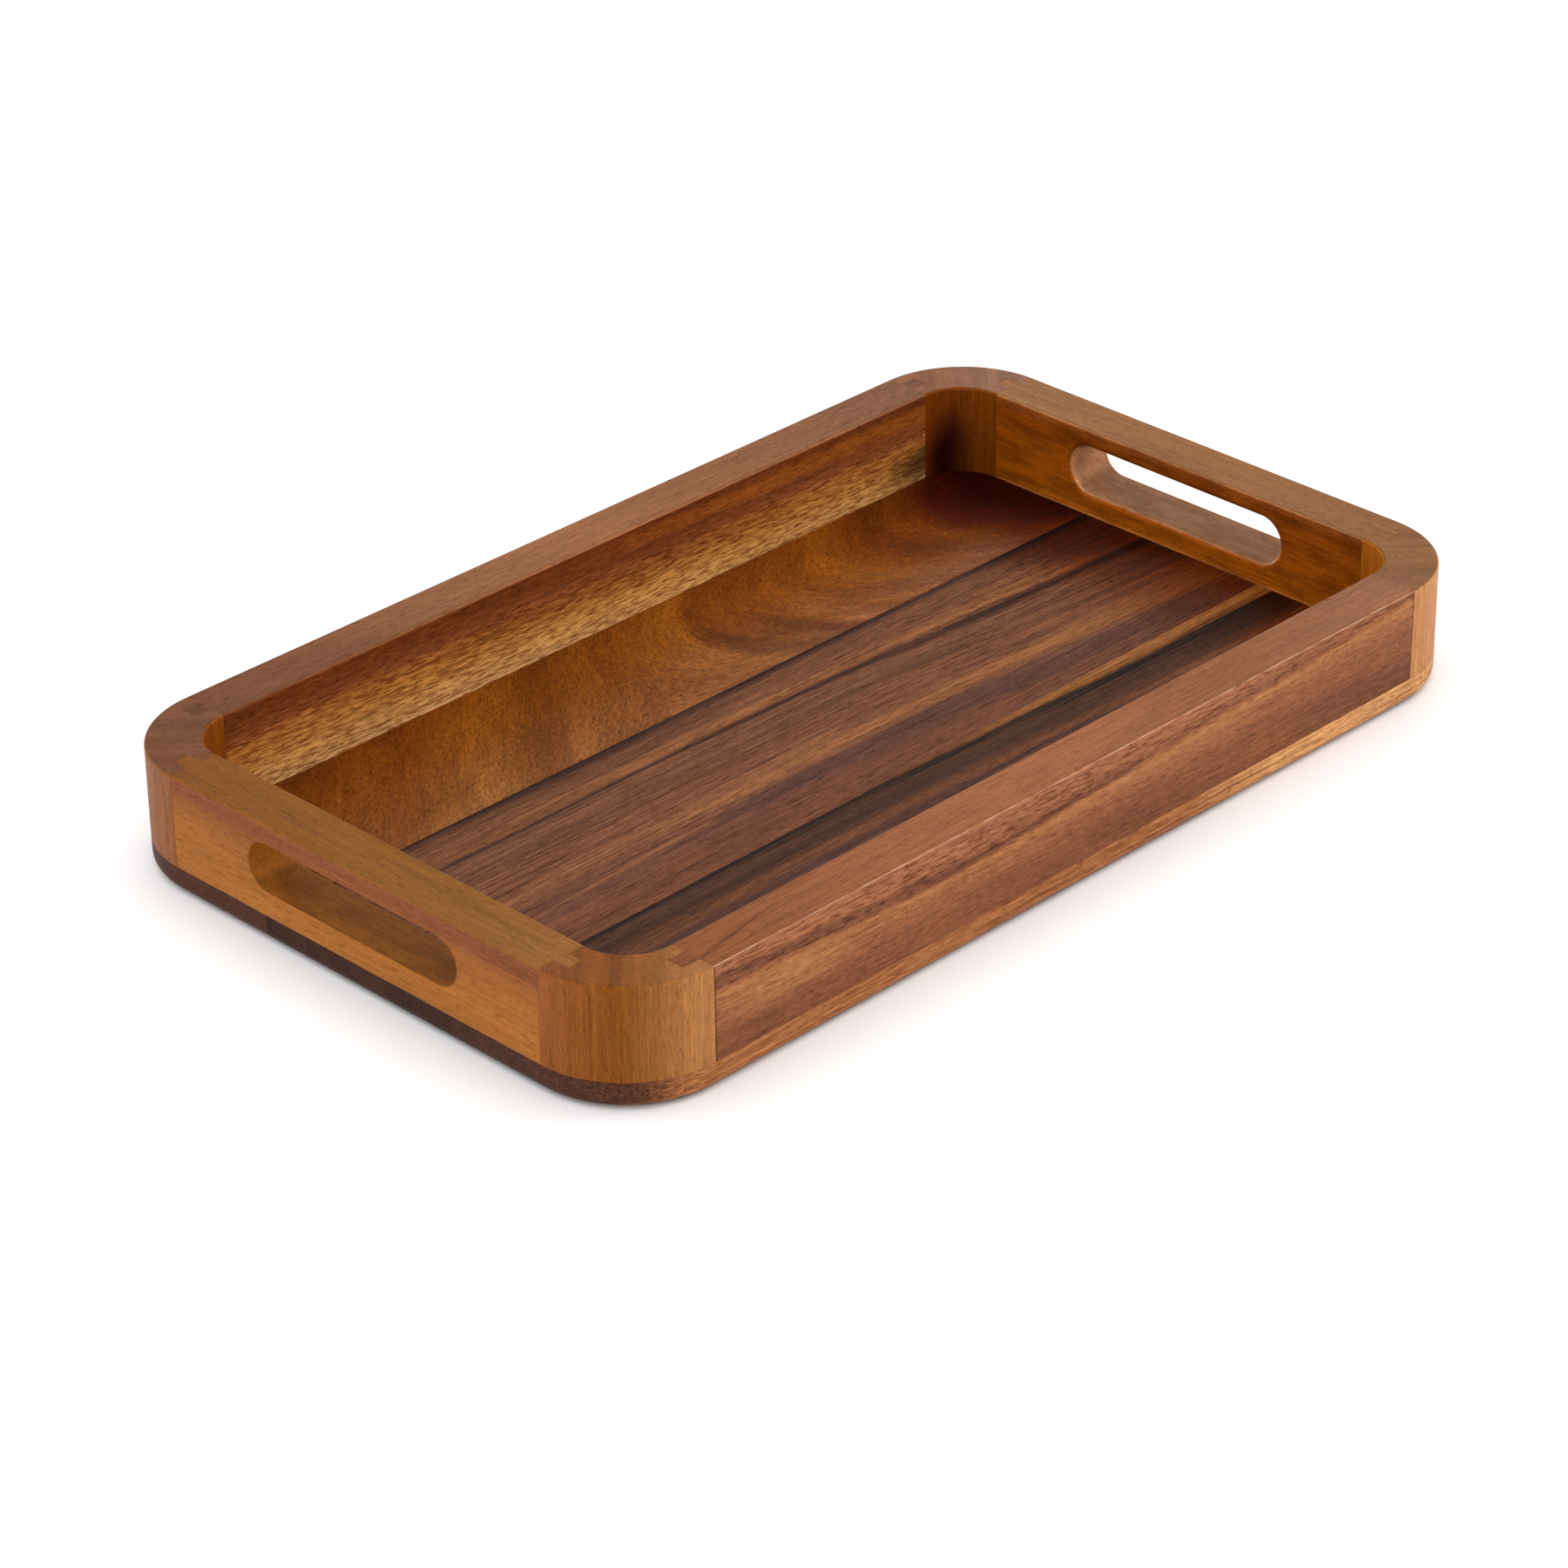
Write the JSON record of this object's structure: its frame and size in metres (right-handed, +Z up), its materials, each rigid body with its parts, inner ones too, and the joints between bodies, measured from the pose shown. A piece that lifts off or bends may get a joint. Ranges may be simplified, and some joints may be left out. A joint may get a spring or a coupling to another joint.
{
  "type": "serving tray",
  "caption": "Rectangular wooden serving tray with rounded corners, straight walls and a hand slot in each short end.",
  "frame": {"origin": "centre of the flat underside, on the surface that the tray stands on", "axes": "+X along the long side, towards the right handle; -Y towards the front long side; +Z up"},
  "size_m": [0.5, 0.3, 0.0535],
  "materials": {
    "corner_wood": "oiled acacia, satin; long grain upright, end grain on top",
    "long_rail_wood": "oiled acacia, satin; reddish brown with dark bands along the rail",
    "handle_rail_wood": "oiled acacia, satin; honey brown, plain grain",
    "base_wood_striped": "oiled acacia, satin; dark brown with near-black stripes",
    "base_wood_figured": "oiled acacia, satin; golden brown with curly figure"
  },
  "bodies": {
    "root": {"corner_block_front_left": "corner_wood", "corner_block_front_right": "corner_wood", "corner_block_back_left": "corner_wood", "corner_block_back_right": "corner_wood", "front_rail": "long_rail_wood", "back_rail": "long_rail_wood", "left_handle_rail": "handle_rail_wood", "right_handle_rail": "handle_rail_wood", "base_board_front": "base_wood_striped", "base_board_middle": "base_wood_striped", "base_board_back": "base_wood_figured"}
  },
  "joints": []
}
